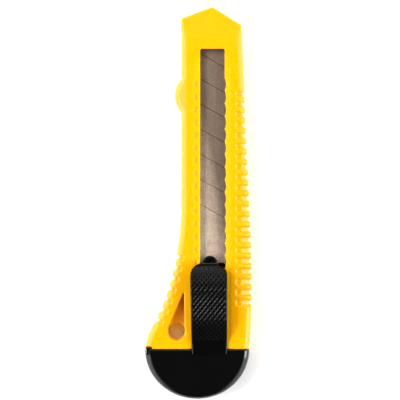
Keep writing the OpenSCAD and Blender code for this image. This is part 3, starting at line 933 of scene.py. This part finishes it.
def spread(tree, place, value, low, high, start=0.0, end=1.0):
    """Spreads a value that runs from start to end over the range low to high."""
    limits = {"From Min": start, "From Max": end, "To Min": low, "To Max": high}
    made = put(tree, "ShaderNodeMapRange", place, limits)
    tree.links.new(value, made.inputs["Value"])
    return made.outputs["Result"]


def add_bump(tree, shader, place, height, depth, strength):
    """Feeds a height, in metres at full strength, into the shader's normal."""
    made = put(tree, "ShaderNodeBump", place, {"Strength": strength, "Distance": depth})
    tree.links.new(height, made.inputs["Height"])
    tree.links.new(made.outputs["Normal"], shader.inputs["Normal"])


# %% Material: yellow plastic
YELLOW = (0.80, 0.385, 0.0)
YELLOW_FLOW = (0.80, 0.365, 0.0)  # the other end of the slow drift in colour
YELLOW_BAND = (0.80, 0.43, 0.0)
# painted pale rim highlight
YELLOW_RIM_LIGHT = (0.78, 0.41, 0.05)
YELLOW_RUBBED = (0.80, 0.44, 0.05)
# painted glow for the hollows
YELLOW_PAINTED_GLOW = (1.0, 0.62, 0.06)
# painted shade for steep walls
YELLOW_PAINTED_SHADE = (0.20, 0.08, 0.005)

yellow, tree, shader, coordinates = new_material("yellow_plastic")
skin_node, edge_node = place_groups(
    tree,
    coordinates,
    {"Flow Scale": 28.0, "Grain Scale": 2600.0},
    {"Sharpness": 0.505, "Softness": 0.05, "Patch Scale": 160.0},
)
banded = spread(tree, (2, -1), mesh_value(tree, (1, 9), "band"), 0, 0.8)
# paints the pale rim highlight
rim_lit = spread(tree, (3, 2), mesh_value(tree, (1, 6), "thin"), 0.0, 0.85)
rubbed = spread(tree, (4, 2), edge_node.outputs["Mask"], 0.0, 0.2)
colour = mix_colour(tree, (3, 0), skin_node.outputs["Flow"], YELLOW, YELLOW_FLOW)
colour = mix_colour(tree, (3, -1), banded, colour, YELLOW_BAND)
colour = mix_colour(tree, (4, 1), rim_lit, colour, YELLOW_RIM_LIGHT)
colour = mix_colour(tree, (5, 1), rubbed, colour, YELLOW_RUBBED)
# painted glow in the hollows, then painted shade on the walls
colour = mix_colour(tree, (6, 1), mesh_value(tree, (1, 4), "painted_glow"), colour, YELLOW_PAINTED_GLOW)
colour = mix_colour(tree, (7, 1), mesh_value(tree, (1, 8), "wall"), colour, YELLOW_PAINTED_SHADE)
tree.links.new(colour, shader.inputs["Base Color"])
rough = spread(tree, (4, 3), skin_node.outputs["Smudge"], 0.26, 0.38)
tree.links.new(rough, shader.inputs["Roughness"])
add_bump(tree, shader, (6, 4), skin_node.outputs["Grain"], 0.00002, 0.12)
shader.inputs["Specular IOR Level"].default_value = 0.2
shader.inputs["Subsurface Weight"].default_value = 0.35
shader.inputs["Subsurface Radius"].default_value = (1.0, 0.45, 0.05)
shader.inputs["Subsurface Scale"].default_value = 0.002
handle.data.materials.append(yellow)
print(yellow.name, len(tree.nodes), "nodes")

# %% [markdown]
# ## Black plastics
#
# The cap is polished, so it shows the lights as soft streaks, with a little smudging. The slider's
# plastic is finely textured and duller. Neither is pure black: black plastic reflects a few percent.
# One function makes both, because only the numbers differ.

# %% Materials: polished and satin black
BLACK = (0.001, 0.001, 0.0011)
BLACK_FLOW = (0.002, 0.0019, 0.0019)
BLACK_RUBBED = (0.02, 0.019, 0.019)


def black_plastic(name, roughness, grain_scale, grain_strength, shine, wear):
    """A black plastic. roughness is its lowest and highest, and wear is how much its edges are rubbed."""
    material, tree, shader, coordinates = new_material(name)
    skin_node, edge_node = place_groups(
        tree,
        coordinates,
        {"Flow Scale": 35.0, "Grain Scale": grain_scale},
        {"Sharpness": 0.53, "Softness": 0.12, "Patch Scale": 260.0},
    )
    rubbed = spread(tree, (3, 2), edge_node.outputs["Mask"], 0.0, wear)
    colour = mix_colour(tree, (3, 0), skin_node.outputs["Flow"], BLACK, BLACK_FLOW)
    colour = mix_colour(tree, (5, 0), rubbed, colour, BLACK_RUBBED)
    tree.links.new(colour, shader.inputs["Base Color"])
    rough = spread(tree, (4, 3), skin_node.outputs["Smudge"], *roughness)
    tree.links.new(rough, shader.inputs["Roughness"])
    add_bump(tree, shader, (6, 4), skin_node.outputs["Grain"], 0.00003, grain_strength)
    shader.inputs["Specular IOR Level"].default_value = shine
    return material


gloss_black = black_plastic("polished_black", (0.09, 0.17), 900.0, 0.05, 0.48, 0.5)
satin_black = black_plastic("satin_black", (0.18, 0.25), 5200.0, 0.12, 0.1, 0.06)
cap.data.materials.append(gloss_black)
for piece in (pad, carrier, spring):
    piece.data.materials.append(satin_black)
print("materials", [material.name for material in bpy.data.materials])

# %% [markdown]
# ## Blade steel
#
# The strip is rolled, so fine lines run along it, and it carries a thin brownish film of oil. The
# lines are noise that is squeezed across the blade and stretched along it. The steel is painted
# darker towards the right and the tip, a painted shade for its dimmer reflection there, and the
# score lines are nearly black.

# %% Material: blade steel
BAND_COLOURS = (0.95, 0.74, 0.58), (1.0, 0.80, 0.63)
# painted shade towards the right and the tip
STEEL_PAINTED_SHADE = (0.275, 0.202, 0.150)
OIL_FILM = (0.32, 0.21, 0.14)
SPECKLE = (1.5, 1.5, 1.5)
SCORE_BLACK = (0.03, 0.022, 0.016)
SHADE_SLOPE = (5.0, 1.0, 0.0)  # how fast the painted shade grows across and along the blade, per metre
SHADE_RANGE = (0.03, 0.08)  # where on that slope it starts and is full

steel, tree, shader, coordinates = new_material("blade_steel")
stretch = put(tree, "ShaderNodeMapping", (1, 0), {"Scale": (1.0, 0.02, 1.0)})
lines = put(tree, "ShaderNodeTexNoise", (2, 0), {"Scale": 5200.0, "Detail": 4.0, "Roughness": 0.7})
bands = put(tree, "ShaderNodeTexNoise", (2, 1.5), {"Scale": 420.0, "Detail": 2.0})
film_look = {"Scale": 130.0, "Detail": 4.0, "Roughness": 0.6, "Distortion": 1.5}
film = put(tree, "ShaderNodeTexNoise", (2, 3), film_look)
slope = put(tree, "ShaderNodeVectorMath", (2, 5), {1: SHADE_SLOPE}, operation="DOT_PRODUCT")
speckle = put(tree, "ShaderNodeTexNoise", (2, 7), {"Scale": 2600.0, "Detail": 2.0})
for made in (stretch, film, speckle):
    tree.links.new(coordinates, made.inputs["Vector"])
for made in (lines, bands):
    tree.links.new(stretch.outputs["Vector"], made.inputs["Vector"])
tree.links.new(coordinates, slope.inputs[0])

streaked = spread(tree, (3, 1), bands.outputs["Fac"], 0, 1, 0.35, 0.65)
# painted shade: darker towards the right and the tip, for the steel's dimmer reflection there
shade_paint = spread(tree, (3, 5), slope.outputs["Value"], 0.0, 1.0, *SHADE_RANGE)
blotches = spread(tree, (3, 3), film.outputs["Fac"], 0, 0.35, 0.4, 0.7)
speckled = spread(tree, (3, 7), speckle.outputs["Fac"], 0, 1, 0.3, 0.7)
colour = mix_colour(tree, (4, 1), streaked, *BAND_COLOURS)
colour = mix_colour(tree, (5, 2), shade_paint, colour, STEEL_PAINTED_SHADE)
colour = mix_colour(tree, (6, 1), blotches, colour, OIL_FILM)
colour = mix_colour(tree, (7, 1), speckled, colour, SPECKLE, "MULTIPLY")
# the score lines are painted nearly black
colour = mix_colour(tree, (8, 0), mesh_value(tree, (5, -1), "scored"), colour, SCORE_BLACK)
tree.links.new(colour, shader.inputs["Base Color"])
rough = spread(tree, (4, 3), lines.outputs["Fac"], 0.38, 0.52, 0.3, 0.7)
tree.links.new(rough, shader.inputs["Roughness"])
add_bump(tree, shader, (6, 4), lines.outputs["Fac"], 0.00001, 0.25)
shader.inputs["Metallic"].default_value = 1.0
for piece in segments:
    piece.data.materials.append(steel)
print(steel.name, len(tree.nodes), "nodes on", len(segments), "segments")

# %% [markdown]
# ## Floor and light
#
# The floor is plain white paper. Shiny things show what is round them, so the sky is dark straight
# above, where the flat tops of the black parts would mirror it, and bright out to the left and right,
# where it only reaches their rounded sides. Four rectangular lights add to it. The one named key
# stands where the gentle walls of the knurl mirror it straight up.

# %% Floor
floor_mesh = bpy.data.meshes.new("floor")
floor_mesh.from_pydata([(-3, -3, 0), (3, -3, 0), (3, 3, 0), (-3, 3, 0)], [], [(0, 1, 2, 3)])
floor = bpy.data.objects.new("floor", floor_mesh)
scene.collection.objects.link(floor)
PAPER, PAPER_FIBRES = (0.93, 0.93, 0.93), (0.95, 0.95, 0.95)
paper, tree, shader, coordinates = new_material("floor_paper")
fibres = put(tree, "ShaderNodeTexNoise", (1, 0), {"Scale": 900.0, "Detail": 4.0})
tree.links.new(coordinates, fibres.inputs["Vector"])
colour = mix_colour(tree, (3, 0), fibres.outputs["Fac"], PAPER, PAPER_FIBRES)
tree.links.new(colour, shader.inputs["Base Color"])
shader.inputs["Roughness"].default_value = 0.8
floor_mesh.materials.append(paper)
print("floor", floor.dimensions[:], "m")

# %% Sky and lights
SKY_DARK, SKY_BRIGHT = 0.05, 2.65  # brightness straight above, and out to the two sides
SKY_TURN = (0.35, 0.8)  # how far to a side the sky starts to brighten and is at its brightest
world = bpy.data.worlds.new("studio")
scene.world = world
world.use_nodes = True
sky = world.node_tree
direction = put(sky, "ShaderNodeTexCoord", (-4, 0))
apart = put(sky, "ShaderNodeSeparateXYZ", (-3, 0))
sideways = put(sky, "ShaderNodeMath", (-2, 0), operation="ABSOLUTE")
sky.links.new(direction.outputs["Generated"], apart.inputs[0])
sky.links.new(apart.outputs["X"], sideways.inputs[0])
glow = spread(sky, (-1, 0), sideways.outputs[0], SKY_DARK, SKY_BRIGHT, *SKY_TURN)
background = sky.nodes["Background"]
background.inputs["Color"].default_value = (1, 1, 1, 1)
sky.links.new(glow, background.inputs["Strength"])


def soft_light(name, place, size, power):
    """A rectangular area light at a place in mm, turned to the middle of the knife."""
    data = bpy.data.lights.new(name, "AREA")
    data.shape = "RECTANGLE"
    data.size, data.size_y = size[0] * MM, size[1] * MM
    data.energy = power
    lamp = bpy.data.objects.new(name, data)
    lamp.location = [v * MM for v in place]
    aim = np.array([centre[0], centre[1], 0]) - np.array(place)
    lamp.rotation_euler = Vector(aim).to_track_quat("-Z", "Y").to_euler()
    lamp.visible_camera = False
    scene.collection.objects.link(lamp)


soft_light("key", (-498, 355, 634), (140, 140), 2.7)
soft_light("left", (-560, -60, 560), (90, 180), 2.2)
soft_light("right", (650, -40, 420), (260, 420), 3.6)
soft_light("top", (-60, 640, 520), (500, 300), 2.2)
